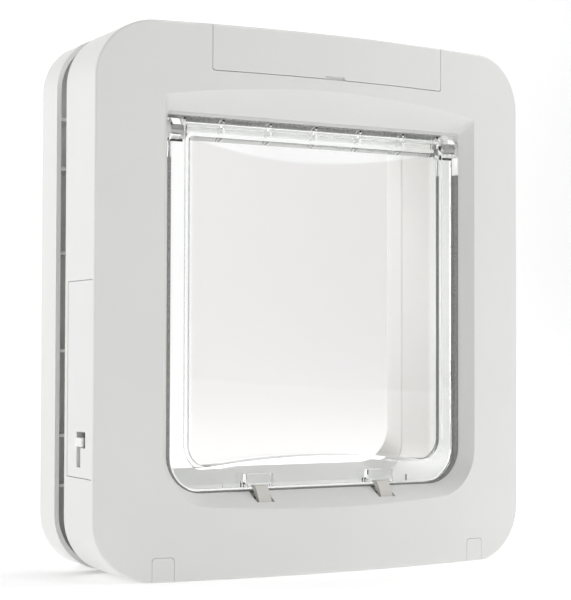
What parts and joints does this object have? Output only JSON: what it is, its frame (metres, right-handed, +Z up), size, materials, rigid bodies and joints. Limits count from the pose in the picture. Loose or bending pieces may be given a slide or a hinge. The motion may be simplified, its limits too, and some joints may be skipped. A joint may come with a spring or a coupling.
{
  "type": "cat flap",
  "caption": "Cat flap with a room-side housing and a garden-side frame clamped either side of a door, a clear hinged flap, powered catches, a side lock slider and a covered battery bay on top.",
  "frame": {"origin": "middle of the pair's outline on the plane that the bottoms of both frames stand on", "axes": "+Z up along the flap, +X across the flap to the right as seen from the room, +Y from the room side through the door to the garden side"},
  "size_m": [0.2631, 0.107, 0.286],
  "materials": {
    "case_white": "fine moulded texture, satin",
    "frame_white": "fine moulded texture, satin",
    "panel_white": "fine moulded texture, satin",
    "clear_plastic": "clear, polished",
    "catch_beige": "satin",
    "slider_white": "semi-gloss",
    "inner_grey": "moulded, satin",
    "steel": "turned",
    "zinc_screw": "bright zinc plate",
    "brass_insert": "turned",
    "bearing_plastic": "low-friction, satin",
    "motor_can": "plain metal can",
    "cell_sleeve": "plain sleeve, semi-gloss",
    "spring_contact": "nickel plated",
    "board_green": "lacquered circuit board",
    "copper_winding": "enamelled winding, taped",
    "button_grey": "semi-gloss",
    "light_red": "clear tinted",
    "seal_pile": "short dark pile"
  },
  "bodies": {
    "housing": {"inner_fascia": "case_white", "inner_chassis": "case_white", "side_panel": "panel_white", "battery_tray": "inner_grey", "battery_cells": "cell_sleeve", "battery_contacts": "spring_contact", "control_board": "board_green", "status_light": "light_red", "reader_coil": "copper_winding", "screw_cover_left": "case_white", "screw_cover_right": "case_white", "shaft_bushes": "bearing_plastic", "catch_motor": "motor_can", "draught_seal": "seal_pile", "outer_frame": "frame_white", "screw_inserts": "brass_insert", "fixing_screws": "zinc_screw", "case_screws": "zinc_screw"},
    "flap": {"flap": "clear_plastic", "hinge_pin_left": "steel", "hinge_pin_right": "steel"},
    "catches": {"catch_left": "catch_beige", "catch_right": "catch_beige", "catch_shaft": "steel", "shaft_coupling": "bearing_plastic"},
    "lock": {"lock_slider": "slider_white", "lock_rod": "slider_white"},
    "battery_lid": {"battery_cover": "case_white"},
    "button": {"program_button": "button_grey"}
  },
  "joints": [
    {"name": "flap_swing", "type": "hinge", "parent": "housing", "child": "flap", "pos_m": [0, -0.032, 0.232], "axis": [1, 0, 0], "range_deg": [0, 80]},
    {"name": "catch_turn", "type": "hinge", "parent": "housing", "child": "catches", "pos_m": [0, -0.018, 0.026], "axis": [1, 0, 0], "range_deg": [0, 28]},
    {"name": "lock_slide", "type": "slide", "parent": "housing", "child": "lock", "axis": [0, 0, 1], "range_m": [-0.0098, 0.0024]},
    {"name": "lid_turn", "type": "hinge", "parent": "housing", "child": "battery_lid", "pos_m": [0, -0.009, 0.285], "axis": [-1, 0, 0], "range_deg": [0, 100]},
    {"name": "button_press", "type": "slide", "parent": "housing", "child": "button", "axis": [0, 0, -1], "range_m": [0, 0.0008], "stiffness_N_per_m": 400, "springref_m": -0.0012}
  ]
}
